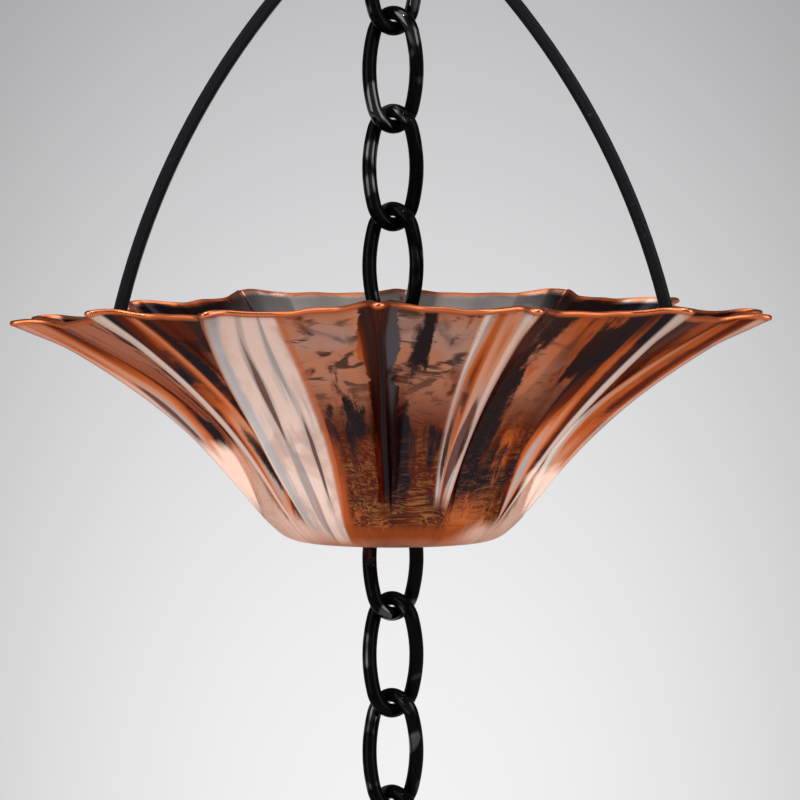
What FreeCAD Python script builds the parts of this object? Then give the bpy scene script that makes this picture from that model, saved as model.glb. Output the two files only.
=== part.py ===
"""Rain chain: a fluted copper cup hung in a black iron bail, with a twist-link chain running down through
the cup's drain hole. Millimetres, +Z up, +X right, front towards -Y. The origin is the top inner point of
the hanging ring."""
import FreeCAD, Part
import Sketcher
import math
import os
from FreeCAD import Placement, Rotation, Vector

SIZES = [
    ("ring_inner_diameter", 20.0, "clear eye of the hanging ring"),
    ("ring_wire", 4.2, "wire of the hanging ring"),
    ("link_wire", 3.9, "wire of every chain link"),
    ("link_length", 34.4, "outer length of a link"),
    ("link_width", 16.6, "outer width of a link at half height"),
    ("link_twist", 90.0, "turn between the two ends of a link, degrees"),
    ("lean_angle", 20.0, "lean of a link's sides at half height, degrees"),
    ("link_gap", 0.3, "clearance where pieces hang in each other"),
    ("bail_thickness", 3.5, "bail bar, measured in the plane of the arch"),
    ("bail_width", 4.5, "bail bar, measured front to back"),
    ("bail_bevel", 1.0, "bevel on the four edges of the bail bar"),
    ("apex_bend_radius", 16.0, "radius of the bail's top bend, at the bar's middle"),
    ("apex_angle", 42.5, "turn of the bail from its top to the start of an arm, degrees"),
    ("arm_radius", 213.0, "radius of the long curve of an arm"),
    ("foot_bend_radius", 7.0, "radius of the bend from an arm into its foot"),
    ("foot_length", 18.0, "flattened foot, along the cup's wall"),
    ("foot_width", 10.0, "flattened foot, across"),
    ("foot_thickness", 2.0, "flattened foot"),
    ("foot_lap", 3.5, "straight end of the bar that runs on into its foot"),
    ("rivet_diameter", 3.0, "shank of a rivet"),
    ("rivet_head", 6.0, "diameter of a rivet's domed heads"),
    ("rivet_dome", 1.8, "height of a rivet's domed heads"),
    ("seat_gap", 0.06, "clearance between the feet, the rivets and the cup's wall"),
    ("cup_drop", 185.5, "underside of the cup below the origin"),
    ("cup_height", 62.0, "mean height of the crest tips over the underside"),
    ("tip_radius", 102.2, "reach of the crest tips"),
    ("base_radius", 27.5, "flat bottom of the cup"),
    ("swell_radius", 46.8, "radius that the cup swells towards over its base"),
    ("swell_height", 13.2, "height of that swell"),
    ("throat_radius", 44.4, "radius that the crests flare out from"),
    ("throat_height", 30.7, "height that the crests flare out from"),
    ("copper", 1.0, "thickness of the copper sheet"),
    ("drain_diameter", 32.0, "drain hole that the chain runs through"),
    ("flute_depth", 10.0, "crests over the panels, at the rim"),
    ("flute_start", 0.16, "share of the way up at which the flutes begin"),
    ("crest_angle", 0.8, "half the width of a crest's narrow fold, degrees"),
    ("flank_angle", 6.5, "from a crest to the foot of its flank at the rim, degrees"),
    ("flank_angle_low", 3.0, "the same at the base, degrees"),
    ("flank_drop", 2.0, "rim at the foot of a flank below the crest tips"),
    ("rim_wave", 3.0, "rise of the front and back crests, and fall of the side ones"),
    ("cup_angle", -2.0, "cup and bail turned about the chain, degrees"),
]
CREST_COUNT = 14
LINK_COUNT = 10
PROFILE_STEPS = 8
CREST_SPACING = 2 * math.pi / CREST_COUNT
# Hand-formed crests stand some degrees out of even spacing. Crests are counted from the front to the right;
# the two on each side of a foot stand evenly.
CREST_SHIFTS = {1: -3.0, 2: -2.0, 5: 1.6, 6: -1.8, 8: 2.0, 9: -1.4, 12: 4.7, 13: 0.4}
# Two crests lean aside on their way down, by these degrees at the base.
CREST_LEANS = {2: 6.0, 13: -13.0}
# The two flanks of one leaning crest, by crest and side: degrees at the rim, and degrees more at the base.
FLANK_WIDTHS = {(13, -1): (5.0, -3.0), (13, 1): (9.4, 10.8)}
RIVET_SIDES = {"rivet_right": 0, "rivet_left": 180}

doc = FreeCAD.newDocument("rain_chain")
sheet = doc.addObject("Spreadsheet::Sheet", "Sheet")
for row, (alias, value, note) in enumerate(SIZES, start=1):
    sheet.set(f"A{row}", note)
    sheet.set(f"B{row}", str(value))
    sheet.setAlias(f"B{row}", alias)
doc.recompute()


def size(alias):
    """A driving dimension, read from the sheet."""
    return float(sheet.get(alias))


# The first link lies in the ring, and the bail's bar lies on that link.
RING_BOTTOM = -size("ring_inner_diameter")
FIRST_LINK_TOP = RING_BOTTOM + size("link_gap") + size("link_wire")
BAIL_APEX = FIRST_LINK_TOP + size("link_gap") + size("bail_thickness") / 2
LINK_PITCH = size("link_length") - 2 * size("link_wire") - size("link_gap")
CUP_PLACE = Placement(Vector(), Rotation(Vector(0, 0, 1), size("cup_angle")))


def origin_plane(body, role):
    """One of a body's own origin planes."""
    return next(plane for plane in body.Origin.OriginFeatures if plane.Role == role)


def new_body(label):
    body = doc.addObject("PartDesign::Body", label)
    body.Label = label
    return body


def new_sketch(body, name, role):
    """A sketch on one of the body's origin planes."""
    sketch = body.newObject("Sketcher::SketchObject", name)
    sketch.AttachmentSupport = [(origin_plane(body, role), "")]
    sketch.MapMode = "FlatFace"
    return sketch


def draw_outline(sketch, corners):
    """Closed run of straight lines through the corners, joined end to end."""
    first = sketch.GeometryCount
    count = len(corners)
    for i in range(count):
        sketch.addGeometry(Part.LineSegment(corners[i], corners[(i + 1) % count]), False)
    for i in range(count):
        sketch.addConstraint(Sketcher.Constraint("Coincident", first + i, 2, first + (i + 1) % count, 1))


# Hanging ring

def make_top_ring():
    """Round wire ring, standing across the upper end of the first link."""
    half_twist = math.radians(size("link_twist") / 2)
    ring = doc.addObject("Part::Torus", "top_ring")
    ring.Label = "top_ring"
    ring.setExpression("Radius1", "(Sheet.ring_inner_diameter + Sheet.ring_wire) / 2")
    ring.setExpression("Radius2", "Sheet.ring_wire / 2")
    ring_axis = Vector(math.cos(half_twist), -math.sin(half_twist), 0)
    ring.Placement = Placement(Vector(0, 0, RING_BOTTOM / 2), Rotation(Vector(0, 0, 1), ring_axis))
    return ring


# Chain

def arc_middle(start, corner, end):
    """Middle of the arc from start to end whose end tangents meet at corner."""
    chord_middle = (start + end) * 0.5
    half_turn = (corner - start).getAngle(end - start)
    return chord_middle + (corner - chord_middle) * (math.tan(half_turn / 2) / math.tan(half_turn))


def link_quarter():
    """Two tangent arcs, each as start, corner and end, from a link's top to the middle of its right side."""
    half_twist = math.radians(size("link_twist") / 2)
    lean = math.radians(size("lean_angle"))
    top = Vector(0, 0, (size("link_length") - size("link_wire")) / 2)
    side = Vector((size("link_width") - size("link_wire")) / 2, 0, 0)
    top_tangent = Vector(math.cos(half_twist), -math.sin(half_twist), 0)
    side_tangent = Vector(0, math.sin(lean), -math.cos(lean))
    span = side - top
    tangents = top_tangent + side_tangent
    spread = 2 * (1 - top_tangent.dot(side_tangent))
    root = math.sqrt(span.dot(tangents) ** 2 + spread * span.dot(span))
    reach = (root - span.dot(tangents)) / spread
    upper_corner = top + top_tangent * reach
    lower_corner = side - side_tangent * reach
    meeting = (upper_corner + lower_corner) * 0.5
    return [(top, upper_corner, meeting), (meeting, lower_corner, side)]


def half_turned(arcs, axis):
    """The same arcs after a half turn about an axis, walked the other way."""
    turn = Rotation(axis, 180)
    return [tuple(turn.multVec(point) for point in reversed(arc)) for arc in reversed(arcs)]


def wire_along(start, corner, end):
    """Round wire bent along one arc: a stretch of a torus."""
    edge = Part.Arc(start, arc_middle(start, corner, end), end).toShape()
    bend = edge.Curve
    turn = math.degrees(edge.LastParameter - edge.FirstParameter)
    stretch = Part.makeTorus(bend.Radius, size("link_wire") / 2, Vector(), Vector(0, 0, 1), 0, 360, turn)
    outwards = start - bend.Center
    stretch.Placement = Placement(
        bend.Center, Rotation(outwards, bend.Axis.cross(outwards), bend.Axis, "XZY")
    )
    return stretch


def link_form():
    """One twisted link about its own middle: eight tangent arcs of wire, alike under half turns about X and Z."""
    upper_right = link_quarter()
    right = upper_right + half_turned(upper_right, Vector(1, 0, 0))
    left = half_turned(right, Vector(0, 0, 1))
    stretches = [wire_along(*arc) for arc in right + left]
    return stretches[0].multiFuse(stretches[1:]).Solids[0]


def make_chain():
    """Links one below the other, each hanging in the one above."""
    form = link_form()
    links = []
    for number in range(1, LINK_COUNT + 1):
        label = f"link_{number:02d}"
        link = doc.addObject("Part::Feature", label)
        link.Label = label
        link.Shape = form.copy()
        middle = FIRST_LINK_TOP - size("link_length") / 2 - LINK_PITCH * (number - 1)
        link.Placement = Placement(Vector(0, 0, middle), Rotation())
        links.append(link)
    return links


# Form of the cup

def curve_point(share):
    """Radius and height of a crest, and the unit vector across the sheet inwards, at a share of the way up.

    The crest is one Bezier curve from the edge of the flat base, out round the swell, up the throat and
    out again to the tip."""
    poles = [
        (size("base_radius"), 0.0),
        (size("swell_radius"), size("swell_height")),
        (size("throat_radius"), size("throat_height")),
        (size("tip_radius"), size("cup_height")),
    ]
    rest = 1 - share
    weights = (rest**3, 3 * rest**2 * share, 3 * rest * share**2, share**3)
    slopes = (-3 * rest**2, 3 * rest**2 - 6 * rest * share, 6 * rest * share - 3 * share**2, 3 * share**2)
    radius, height = (sum(w * pole[i] for w, pole in zip(weights, poles)) for i in (0, 1))
    run, rise = (sum(w * pole[i] for w, pole in zip(slopes, poles)) for i in (0, 1))
    length = math.hypot(run, rise)
    return radius, height, (-rise / length, run / length)


def flute_share(share):
    """How far the flutes have grown, from 0 where they begin to 1 at the rim."""
    start = size("flute_start")
    grown = max(0.0, (share - start) / (1 - start))
    return grown * (2 - grown)


def lean_share(share):
    """How much of its lean a crest has at a share of the way up: all at the base, most of it half way up."""
    return 1.0 - share**4


def crest_azimuth(crest, share):
    """Angle at which a crest stands, from the front."""
    degrees = CREST_SHIFTS.get(crest, 0.0) + CREST_LEANS.get(crest, 0.0) * lean_share(share)
    return crest * CREST_SPACING + math.radians(degrees)


def flank_reach(share, flank=None):
    """Angle from a crest to the foot of its flank. A flank is named by its crest and its side, 1 to the right."""
    if flank in FLANK_WIDTHS:
        rim, more = FLANK_WIDTHS[flank]
        return math.radians(rim + more * lean_share(share))
    low = size("flank_angle_low")
    return math.radians(low + (size("flank_angle") - low) * share)


def wall_point(share, azimuth, is_crest, inner):
    """A point of the cup's wall, on a crest or at the foot of a flank, on the outer or the inner face."""
    radius, height, inwards = curve_point(share)
    grown = flute_share(share)
    height += size("rim_wave") * math.cos(2 * azimuth) * share**3
    if not is_crest:
        radius -= size("flute_depth") * grown
        height -= size("flank_drop") * share**3
    if inner:
        radius += inwards[0] * size("copper")
        height += inwards[1] * size("copper")
    return Vector(radius * math.sin(azimuth), -radius * math.cos(azimuth), height - size("cup_drop"))


def wall_line(crest, side, is_crest, inner):
    """One line up the wall, on one side of a crest: an edge of its fold, or the foot of its flank."""
    shares = [step / PROFILE_STEPS for step in range(PROFILE_STEPS + 1)]
    fold = math.radians(size("crest_angle"))
    points = []
    for share in shares:
        reach = fold if is_crest else flank_reach(share, (crest, side))
        points.append(wall_point(share, crest_azimuth(crest, share) + side * reach, is_crest, inner))
    line = Part.BSplineCurve()
    line.interpolate(Points=points, Parameters=shares)
    return line.toShape()


def wall_face(inner):
    """The lines round one face of the wall, and the flat strips of sheet ruled between them."""
    lines = []
    for crest in range(CREST_COUNT):
        for side, is_crest in ((-1, False), (-1, True), (1, True), (1, False)):
            lines.append(wall_line(crest, side, is_crest, inner))
    strips = [Part.makeRuledSurface(lines[i - 1], lines[i]) for i in range(len(lines))]
    return lines, strips


def line_ends(lines, last):
    """The lower or the upper ends of the wall's lines, in order round the cup."""
    return [line.valueAt(line.LastParameter if last else line.FirstParameter) for line in lines]


def cup_form():
    """The closed sheet of the cup: outer and inner strips, the edge at the rim, and the flat base."""
    outer_lines, outer_strips = wall_face(False)
    inner_lines, inner_strips = wall_face(True)
    outer_rim = line_ends(outer_lines, True)
    inner_rim = line_ends(inner_lines, True)
    faces = outer_strips + inner_strips
    for i in range(len(outer_rim)):
        outer_edge = Part.makeLine(outer_rim[i - 1], outer_rim[i])
        inner_edge = Part.makeLine(inner_rim[i - 1], inner_rim[i])
        faces.append(Part.makeRuledSurface(outer_edge, inner_edge))
    for lines in (outer_lines, inner_lines):
        ends = line_ends(lines, False)
        faces.append(Part.Face(Part.makePolygon(ends + ends[:1])))
    shell = Part.Shell(faces)
    shell.sewShape()
    form = Part.Solid(shell)
    if form.Volume < 0:
        form.reverse()
    return form


# Seats of the bail's feet on the wall

def panel_section(share):
    """Radius and height of the inner wall half way between two crests, on the side of a foot."""
    corner = wall_point(share, math.pi / 2 - CREST_SPACING / 2 + flank_reach(share), False, True)
    return corner.x, corner.z


def foot_seat(radius):
    """Where the panel has a radius: its height, and its slope up and out, in radians."""
    low, high = 0.0, 1.0
    for _ in range(60):
        share = (low + high) / 2
        if panel_section(share)[0] < radius:
            low = share
        else:
            high = share
    step = 1e-4
    below, above = panel_section(share - step), panel_section(share + step)
    return panel_section(share)[1], math.atan2(above[1] - below[1], above[0] - below[0])


def arm_points(turn_end, foot_turn):
    """Ends of the bail's curves, in the plane of the arch: the top bend, the arm, and the bend into the foot.

    Turns are counted from level, downwards."""
    turns = [0.0, math.radians(size("apex_angle")), turn_end, foot_turn]
    radii = [size("apex_bend_radius"), size("arm_radius"), size("foot_bend_radius")]
    points = [(0.0, BAIL_APEX)]
    centres = []
    for radius, start, end in zip(radii, turns, turns[1:]):
        x, z = points[-1]
        centres.append((x - radius * math.sin(start), z - radius * math.cos(start)))
        points.append((centres[-1][0] + radius * math.sin(end), centres[-1][1] + radius * math.cos(end)))
    return points, centres, radii, turns


def fit_foot():
    """The foot's seat, and the turn at which the arm meets its bend, so that the bar runs out flat on the wall.

    The seat is moved until the bend ends at the upper end of the foot."""
    radius = 0.65 * size("tip_radius")
    for _ in range(40):
        height, slope = foot_seat(radius)
        foot_turn = math.pi - slope
        lift = size("seat_gap") + size("bail_thickness") / 2
        line_x = radius - lift * math.sin(slope)
        line_z = height + lift * math.cos(slope)
        low, high = math.radians(size("apex_angle")), math.pi / 2
        for _ in range(60):
            turn_end = (low + high) / 2
            end_x, end_z = arm_points(turn_end, foot_turn)[0][-1]
            above_line = (end_z - line_z) * math.cos(slope) - (end_x - line_x) * math.sin(slope)
            if above_line > 0:
                low = turn_end
            else:
                high = turn_end
        along = (end_x - line_x) * math.cos(slope) + (end_z - line_z) * math.sin(slope)
        radius += 0.6 * (along - size("foot_length") / 2) * math.cos(slope)
    return radius, height, slope, turn_end


FOOT_RADIUS, FOOT_HEIGHT, FOOT_SLOPE, ARM_TURN_END = fit_foot()


def seat_place(lift):
    """Frame on the foot's seat: X up the wall, Z square to it and inwards, raised by lift."""
    middle = Vector(FOOT_RADIUS - lift * math.sin(FOOT_SLOPE), 0, FOOT_HEIGHT + lift * math.cos(FOOT_SLOPE))
    return Placement(middle, Rotation(Vector(0, 1, 0), -math.degrees(FOOT_SLOPE)))


# Bail

def draw_arm_path(body):
    """Half of the arch: top bend, arm, bend into the foot and a short straight run down the wall."""
    points, centres, radii, turns = arm_points(ARM_TURN_END, math.pi - FOOT_SLOPE)
    path = new_sketch(body, "arm_path", "XZ_Plane")
    for i, (centre, radius) in enumerate(zip(centres, radii)):
        circle = Part.Circle(Vector(centre[0], centre[1], 0), Vector(0, 0, 1), radius)
        path.addGeometry(Part.ArcOfCircle(circle, math.pi / 2 - turns[i + 1], math.pi / 2 - turns[i]), False)
    bend_end = Vector(points[-1][0], points[-1][1], 0)
    down_wall = Vector(-math.cos(FOOT_SLOPE), -math.sin(FOOT_SLOPE), 0)
    path.addGeometry(Part.LineSegment(bend_end, bend_end + down_wall * size("foot_lap")), False)
    for upper, lower, lower_point in ((0, 1, 2), (1, 2, 2), (2, 3, 1)):
        path.addConstraint(Sketcher.Constraint("Tangent", upper, 1, lower, lower_point))
    for arc, alias in enumerate(("apex_bend_radius", "arm_radius", "foot_bend_radius")):
        radius_rule = path.addConstraint(Sketcher.Constraint("Radius", arc, radii[arc]))
        path.setExpression(f"Constraints[{radius_rule}]", f"Sheet.{alias}")
    return path


def draw_bar_section(body):
    """Bevelled rectangle, at the top of the arch."""
    section = new_sketch(body, "bar_section", "YZ_Plane")
    half_width = size("bail_width") / 2
    half_thickness = size("bail_thickness") / 2
    bevel = size("bail_bevel")
    quarter = [(half_width, half_thickness - bevel), (half_width - bevel, half_thickness)]
    corners = []
    for y_sign, z_sign in ((1, 1), (-1, 1), (-1, -1), (1, -1)):
        pair = quarter if y_sign == z_sign else quarter[::-1]
        corners += [Vector(y_sign * y, BAIL_APEX + z_sign * z, 0) for y, z in pair]
    draw_outline(section, corners)
    return section


def draw_foot(body):
    """Outline of a foot with round ends, and its rivet hole, lying on the wall."""
    outline = new_sketch(body, "foot_outline", "XY_Plane")
    outline.AttachmentOffset = seat_place(size("seat_gap"))
    half_width = size("foot_width") / 2
    half_run = size("foot_length") / 2 - half_width
    for end in (1, -1):
        circle = Part.Circle(Vector(end * half_run, 0, 0), Vector(0, 0, 1), half_width)
        start = -math.pi / 2 if end > 0 else math.pi / 2
        outline.addGeometry(Part.ArcOfCircle(circle, start, start + math.pi), False)
    upper = Part.LineSegment(Vector(half_run, half_width, 0), Vector(-half_run, half_width, 0))
    lower = Part.LineSegment(Vector(-half_run, -half_width, 0), Vector(half_run, -half_width, 0))
    outline.addGeometry([upper, lower], False)
    for arc, arc_end, line, line_end in ((0, 2, 2, 1), (2, 2, 1, 1), (1, 2, 3, 1), (3, 2, 0, 1)):
        outline.addConstraint(Sketcher.Constraint("Tangent", arc, arc_end, line, line_end))
    hole = outline.addGeometry(Part.Circle(Vector(), Vector(0, 0, 1), size("rivet_diameter") / 2), False)
    hole_rule = outline.addConstraint(
        Sketcher.Constraint("Radius", hole, size("rivet_diameter") / 2 + size("seat_gap"))
    )
    outline.setExpression(f"Constraints[{hole_rule}]", "Sheet.rivet_diameter / 2 + Sheet.seat_gap")
    return outline


def make_bail():
    """One bar bent into an arch, with a flattened foot at each end."""
    body = new_body("bail")
    pipe = body.newObject("PartDesign::AdditivePipe", "arm")
    pipe.Profile = draw_bar_section(body)
    pipe.Spine = draw_arm_path(body)
    foot = body.newObject("PartDesign::Pad", "foot")
    foot.Profile = draw_foot(body)
    foot.setExpression("Length", "Sheet.foot_thickness")
    doc.recompute()
    mirror = body.newObject("PartDesign::Mirrored", "other_arm")
    mirror.Originals = [pipe, foot]
    mirror.MirrorPlane = (origin_plane(body, "YZ_Plane"), [""])
    body.Tip = mirror
    body.Placement = CUP_PLACE
    return body


# Rivets

def make_rivet(label, half_turn):
    """Shank through the foot and the wall, with a domed head at each end."""
    body = new_body(label)
    profile = new_sketch(body, f"{label}_profile", "XZ_Plane")
    shank = size("rivet_diameter") / 2
    head = size("rivet_head") / 2
    dome = size("rivet_dome")
    outer = -size("copper") - size("seat_gap")
    inner = 2 * size("seat_gap") + size("foot_thickness")
    dome_radius = (head**2 + dome**2) / (2 * dome)
    dome_reach = math.asin(head / dome_radius)

    def add_dome(level, up):
        centre = Vector(0, level + up * (dome - dome_radius), 0)
        circle = Part.Circle(centre, Vector(0, 0, 1), dome_radius)
        start = math.pi / 2 - dome_reach if up > 0 else -math.pi / 2
        profile.addGeometry(Part.ArcOfCircle(circle, start, start + dome_reach), False)

    add_dome(outer, -1)
    add_dome(inner, 1)
    steps = [(head, outer), (shank, outer), (shank, inner), (head, inner)]
    for (x0, z0), (x1, z1) in zip(steps, steps[1:]):
        profile.addGeometry(Part.LineSegment(Vector(x0, z0, 0), Vector(x1, z1, 0)), False)
    axis_ends = Vector(0, inner + dome, 0), Vector(0, outer - dome, 0)
    profile.addGeometry(Part.LineSegment(*axis_ends), False)
    for first, first_end, second, second_end in (
        (0, 2, 2, 1), (2, 2, 3, 1), (3, 2, 4, 1), (4, 2, 1, 1), (1, 2, 5, 1), (5, 2, 0, 1)
    ):
        profile.addConstraint(Sketcher.Constraint("Coincident", first, first_end, second, second_end))
    turned = body.newObject("PartDesign::Revolution", f"{label}_turned")
    turned.Profile = profile
    turned.ReferenceAxis = (profile, ["V_Axis"])
    turned.Angle = 360
    side = Placement(Vector(), Rotation(Vector(0, 0, 1), half_turn))
    body.Placement = CUP_PLACE.multiply(side).multiply(seat_place(0.0))
    return body


# Cup

def make_cup():
    """Fluted sheet with its drain hole and two rivet holes."""
    blank = doc.addObject("Part::Feature", "cup_blank")
    blank.Shape = cup_form()
    drain = doc.addObject("Part::Cylinder", "drain_tool")
    drain.setExpression("Radius", "Sheet.drain_diameter / 2")
    drain.setExpression("Height", "4 * Sheet.copper")
    drain.Placement = Placement(Vector(0, 0, -size("cup_drop") - 1.5 * size("copper")), Rotation())
    tools = [drain]
    for half_turn in RIVET_SIDES.values():
        hole = doc.addObject("Part::Cylinder", "rivet_tool")
        hole.setExpression("Radius", "Sheet.rivet_diameter / 2 + Sheet.seat_gap")
        hole.setExpression("Height", "4 * Sheet.copper")
        side = Placement(Vector(), Rotation(Vector(0, 0, 1), half_turn))
        hole.Placement = side.multiply(seat_place(-2.5 * size("copper")))
        tools.append(hole)
    holes = doc.addObject("Part::MultiFuse", "cup_holes")
    holes.Shapes = tools
    cup = doc.addObject("Part::Cut", "cup")
    cup.Label = "cup"
    cup.Base = blank
    cup.Tool = holes
    cup.Placement = CUP_PLACE
    return cup


pieces = [make_top_ring(), make_bail(), make_cup()]
pieces += [make_rivet(label, half_turn) for label, half_turn in RIVET_SIDES.items()]
pieces += make_chain()
doc.recompute()

for item in doc.Objects:
    if "Invalid" in item.State or "Error" in item.State:
        raise RuntimeError(f"{item.Name} failed: {item.State}")
for piece in pieces:
    if piece.Shape.isNull() or not piece.Shape.isValid() or len(piece.Shape.Solids) != 1:
        raise RuntimeError(f"{piece.Label} is not one valid solid")
os.makedirs("parts", exist_ok=True)
for piece in pieces:
    piece.Shape.exportStep(f"parts/{piece.Label}.step")
    print(f"{piece.Label}: {piece.Shape.Volume:.1f} mm3")
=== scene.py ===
"""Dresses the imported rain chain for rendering: the fluted copper cup, its iron bail and the twisted chain."""

import math
from types import SimpleNamespace

import bpy
import numpy as np
from bpy.props import FloatProperty, FloatVectorProperty, PointerProperty
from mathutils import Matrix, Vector


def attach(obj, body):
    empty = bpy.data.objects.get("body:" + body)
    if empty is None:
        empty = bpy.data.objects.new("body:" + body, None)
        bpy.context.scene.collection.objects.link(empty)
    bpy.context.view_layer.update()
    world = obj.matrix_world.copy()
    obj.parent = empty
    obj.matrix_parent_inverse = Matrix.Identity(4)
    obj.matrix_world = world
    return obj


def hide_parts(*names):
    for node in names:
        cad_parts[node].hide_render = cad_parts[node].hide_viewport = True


bl_info = {
    "name": "Rain chain",
    "version": (1, 0, 0),
    "blender": (4, 5, 0),
    "location": "View3D > Sidebar > Rain chain",
    "description": "Builds a fluted copper cup with its bail and twisted chain around a packed frame",
    "category": "Object",
}

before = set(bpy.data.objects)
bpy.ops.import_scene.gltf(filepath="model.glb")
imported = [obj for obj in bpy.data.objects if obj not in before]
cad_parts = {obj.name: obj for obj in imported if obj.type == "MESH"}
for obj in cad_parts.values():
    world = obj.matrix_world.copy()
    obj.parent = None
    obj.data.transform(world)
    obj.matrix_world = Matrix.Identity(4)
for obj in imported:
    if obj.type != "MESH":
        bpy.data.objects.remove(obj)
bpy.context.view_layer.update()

MILLIMETRE = 0.001
CHAIN_NODES = sorted(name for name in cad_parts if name.startswith("link_"))
IRON_NODES = ("bail", "rivet_left", "rivet_right")

CREST_COUNT = 14
COLUMNS_PER_CREST = 44
WALL_ROWS = 60
BEAD_ROWS = 9
BASE_ROWS = 7

# The cup's flat map: the radius at which its width is true, and its height, in metres.
MAP_RADIUS = 0.06
MAP_HEIGHT = 0.30

# Where a crest's fold and its flank end, as shares of half a sector.
FOLD_END = 0.15
FOOT = 0.62

# The share of the wall at which a crest's tip begins to open, and by how much its fold widens there.
TIP_START = 0.90
TIP_OPENING = 0.5

# Waves of the soft folds down a flank, in radians: over the flank, up the wall, and from crest to crest.
DRAPE_WAVES = (10.0, 5.0, 1.7)

# Hand-formed ripples: strength, waves round the cup, radians up the wall and phase. They start at a share of
# the wall and are in full at another.
RIPPLES = (
    (0.40, 31, 5.1, 0.7), (0.30, 47, -7.3, 2.1), (0.28, 9, 11.0, 1.3), (0.22, 73, 3.7, 4.4),
    (0.20, 22, -17.0, 0.2),
)
RIPPLE_START = 0.10
RIPPLE_FULL = 0.35

# The rim bead's arc in degrees, from straight out, how much thicker it is on a fold, and the share of the
# flank at which that ends.
BEAD_ARC = (-35.0, 215.0)
BEAD_SWELL = 0.3
BEAD_SWELL_END = 0.25

# Rounds of averaging: across the folds, which softens them, and over the base's edge, which rounds it. The
# second is in full next to the edge, for a share of some rows, and fades over as many rows beyond.
FOLD_ROUNDS = 2
EDGE_ROUNDS = 9
EDGE_ROWS = 5.0
EDGE_HOLD = 0.2

# Hand-formed crests stand some degrees out of even spacing. Crests are counted from the front to the right.
CREST_SHIFTS = (0.0, -3.0, -2.0, 0.0, 0.0, 1.6, -1.8, 0.0, 2.0, -1.4, 0.0, 0.0, 4.7, 0.4)

# Two crests lean aside on their way down, by these degrees at the base.
CREST_LEANS = {2: 6.0, 13: -13.0}

# The two flanks of one leaning crest, by crest and side: degrees at the rim, and degrees more at the base.
FLANK_WIDTHS = {(13, -1): (5.0, -3.0), (13, 1): (9.4, 10.8)}

# How far each crest's tip stands above the even rim, in millimetres.
TIP_LIFTS = (0.9, 0.0, 2.0, 1.6, 1.8, 2.2, 1.8, 0.3, 1.6, 0.9, 0.0, 0.0, 1.1, -0.9)

# How bright each crest's left flank and right flank are, partly real polishing and partly painted reflection,
# with values below 0 painting the shade in the crease beside it; how bright the painted highlight along its
# fold is; how smoky the panel on its right is; and the share of the way up the wall at which its flanks end.
CREST_FINISH = (
    (0.20, -0.03, 0.0, 0.74, 0.30), (0.48, -0.16, 0.6, 0.48, 0.30), (0.06, -0.06, 0.8, 0.56, 0.0),
    (0.34, 0.56, 0.5, 0.50, 0.0), (0.75, 0.28, 0.5, 0.60, 0.2), (0.30, 0.70, 0.7, 0.50, 0.0),
    (0.60, 0.34, 0.3, 0.65, 0.3), (0.32, 0.40, 0.6, 0.55, 0.1), (0.70, 0.55, 0.8, 0.50, 0.0),
    (0.28, 0.80, 0.4, 0.62, 0.2), (0.52, 0.42, 0.6, 0.55, 0.0), (0.46, 0.42, 0.4, 0.395, 0.0),
    (0.40, 0.08, 0.8, 0.68, 0.0), (-0.12, 0.92, 0.2, 0.60, 0.0),
)

# The cup's vertex shares: how far up the wall, at the rim, inside, how far down a flank and into a panel a
# point lies, and then its crest's finish with its painted reflection, shade and fold highlight.
CUP_SHARES = ("up", "rim", "inside", "flank", "bay", "polish", "gleam", "smoke", "end")

# The copper's patterns on the flat map: waves in a metre round and up, a shift that gives each pattern a
# place of its own, and the noise's detail, roughness and distortion.
COPPER_PATTERNS = {
    "cloud": ((70.0, 24.0), (0.0, 0.0), 4.0, 0.60, 0.50),
    "mist": ((80.0, 60.0), (8.4, 3.3), 3.0, 0.55, 0.60),
    "bands": ((240.0, 8.0), (1.7, 4.1), 2.0, 0.45, 0.15),
    "slits": ((300.0, 15.0), (6.6, 0.4), 1.5, 0.40, 0.10),
    "streak": ((300.0, 16.0), (3.1, 7.7), 4.0, 0.60, 0.20),
    "smudge": ((105.0, 30.0), (11.3, 2.9), 5.0, 0.60, 0.50),
    "swirl": ((70.0, 70.0), (4.4, 6.2), 0.0, 0.50, 0.0),
    "wisp": ((75.0, 170.0), (2.2, 9.1), 3.0, 0.55, 1.40),
}

# Fine brush strokes: their waves in a metre, how far the swirl stirs them, and the grain of the metal itself.
HAIR_WAVES = (85.0, 640.0, 1.0)
HAIR_STIR = 13.0
METAL_GRAIN = 900.0

# A flank's colours over the darkest one, and the tones between which each takes over. On a shaded flank the
# darkest tones are painted shade, and on the brightest flanks the lightest is partly painted reflection.
SHEEN_STEPS = (
    ("deep", 0.08, 0.20), ("oxide", 0.22, 0.38), ("blush", 0.38, 0.54), ("steel", 0.54, 0.66),
    ("bare", 0.66, 0.82),
)

# The lamps: name, place, width, height and watts. All of them face one point.
SOFT_BOXES = (
    ("left_box", (-0.95, -0.75, 0.25), 0.8, 1.2, 13.0),
    ("right_box", (1.0, -0.6, 0.15), 0.8, 1.2, 12.0),
    ("key_box", (-0.25, -0.75, 0.75), 0.10, 0.10, 5.0),
    ("top_box", (0.0, -0.2, 1.0), 1.0, 0.8, 7.0),
)
LAMP_AIM = (0.0, 0.0, -0.15)

# The camera: focal length and sensor width in millimetres, place and aim in metres.
CAMERA_LENS = 183.6
CAMERA_SENSOR = 36.0
CAMERA_PLACE = (0.0019, -1.1, -0.099)
CAMERA_AIM = (0.0019, 0.0, -0.1482)

# The backdrop: the climbs of a ray at its high and low tone, how fast and how far it darkens to the sides,
# and the run from the backdrop to the camera's side of the studio.
BACKDROP_CLIMB = (0.20, -0.15)
BACKDROP_FALL = 24.5
BACKDROP_FALL_END = 0.012
STUDIO_RUN = (0.55, -0.35)
BLACK = (0.0, 0.0, 0.0, 1.0)
FLOOR_CORNERS = 96


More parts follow.
